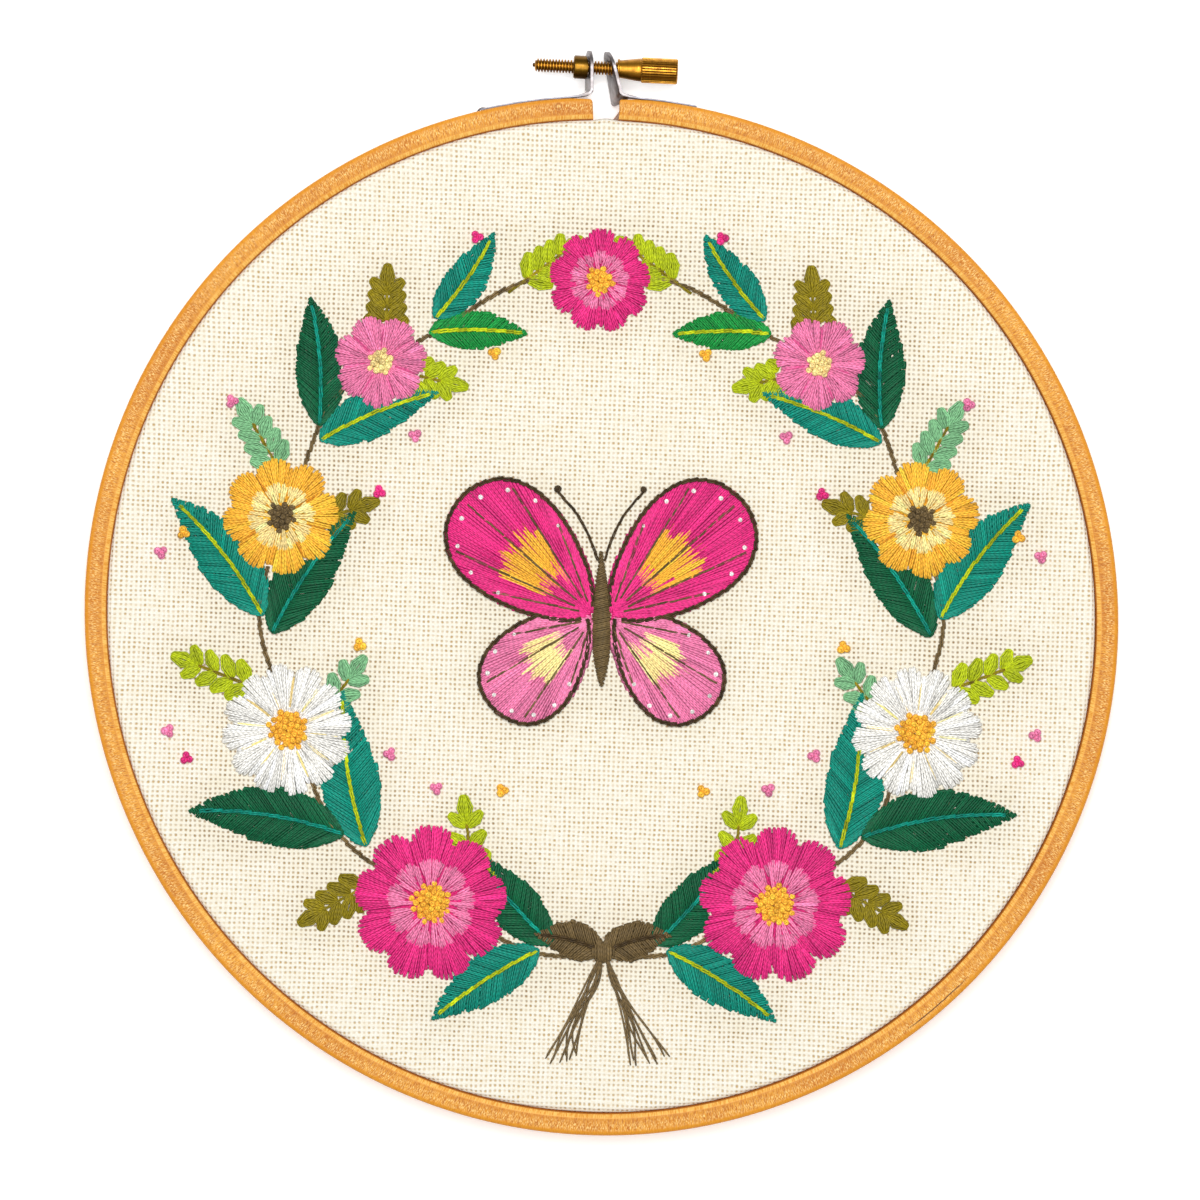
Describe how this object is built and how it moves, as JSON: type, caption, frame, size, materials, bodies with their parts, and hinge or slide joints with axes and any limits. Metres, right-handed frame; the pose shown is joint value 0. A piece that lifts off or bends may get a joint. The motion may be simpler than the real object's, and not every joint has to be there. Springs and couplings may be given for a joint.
{
  "type": "hoop embroidery art with its wooden embroidery hoop",
  "caption": "Round cream evenweave cloth with a stitched floral wreath and butterfly, stretched in a split wooden hoop that is closed by a brass thumb screw.",
  "frame": {"origin": "centre of the whole piece's outline, on the plane that the hoops' backs lie on", "axes": "+Z out of the worked face, +Y from the hoop's middle towards the clamping screw, +X to the right seen from the front"},
  "size_m": [0.216, 0.2268, 0.0108],
  "materials": {
    "beech": "satin, clear lacquered",
    "inner_beech": "plain sanded",
    "evenweave": "matte open weave with satin stitched thread",
    "steel": "bright plated strip",
    "brass": "polished",
    "aged_brass": "dull"
  },
  "bodies": {
    "hoop": {"outer_hoop": "beech", "inner_hoop": "inner_beech", "cloth": "evenweave", "left_bracket": "steel", "right_bracket": "steel", "nut": "aged_brass"},
    "screw": {"thumb_screw": "brass"}
  },
  "joints": [
    {"name": "screw_turn", "type": "hinge", "parent": "hoop", "child": "screw", "pos_m": [0, 0.1097, 0.005], "axis": [-0.9988, 0.0488, 0], "range_deg": [-900, 540]}
  ]
}
